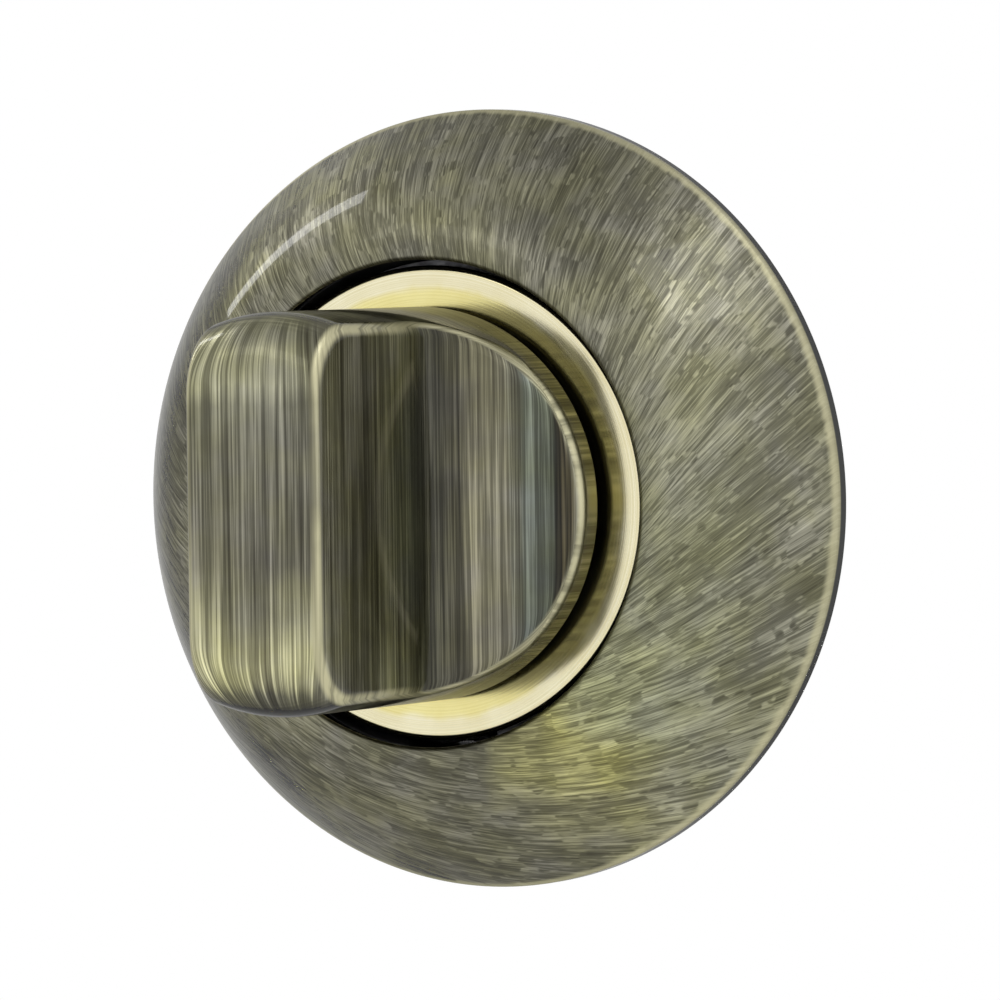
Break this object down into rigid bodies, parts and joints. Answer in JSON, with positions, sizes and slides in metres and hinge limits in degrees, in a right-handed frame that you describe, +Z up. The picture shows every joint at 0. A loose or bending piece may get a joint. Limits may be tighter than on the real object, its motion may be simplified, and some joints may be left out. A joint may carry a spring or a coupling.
{
  "type": "bathroom thumb turn",
  "caption": "Thumb turn on a round domed rosette: an upright wing between two scoops, turning a square spindle through the door.",
  "frame": {"origin": "on the spindle's axis in the plane of the door's face, which is the back of the base plate and of the cover's rim", "axes": "+Z up, +Y into the door along the spindle, so the knob stands out towards -Y; +X to the right as seen from the front"},
  "size_m": [0.052, 0.0712, 0.052],
  "materials": {
    "bronze_brushed": "antique bronze, brushed in arcs, lacquered",
    "bronze_brushed_knob": "antique bronze, brushed along the wing, lacquered",
    "gold_polished": "polished, pale gold",
    "zinc_cast": "die cast, dull",
    "spring_steel": "dark, oiled",
    "steel_plated": "zinc plated",
    "screw_steel": "zinc plated",
    "screw_brass_coloured": "yellow zinc plated",
    "nylon": "moulded, matt"
  },
  "bodies": {
    "rosette": {"rosette_cover": "bronze_brushed", "trim_ring": "gold_polished", "base_plate": "zinc_cast", "snap_ring": "spring_steel", "bearing_bush": "nylon", "stop_pin_start": "steel_plated", "stop_pin_end": "steel_plated", "door_screw_upper": "screw_steel", "door_screw_lower": "screw_steel", "lock_washer_upper": "screw_steel", "lock_washer_lower": "screw_steel", "wood_screw_left": "screw_brass_coloured", "wood_screw_right": "screw_brass_coloured"},
    "turn": {"knob": "bronze_brushed_knob", "stop_washer": "steel_plated", "spring_washer": "spring_steel", "circlip": "spring_steel", "spindle": "steel_plated", "spindle_pin": "spring_steel"}
  },
  "joints": [
    {"name": "knob_turn", "type": "hinge", "parent": "rosette", "child": "turn", "pos_m": [0, 0, 0], "axis": [0, 1, 0], "range_deg": [0, 90]}
  ]
}
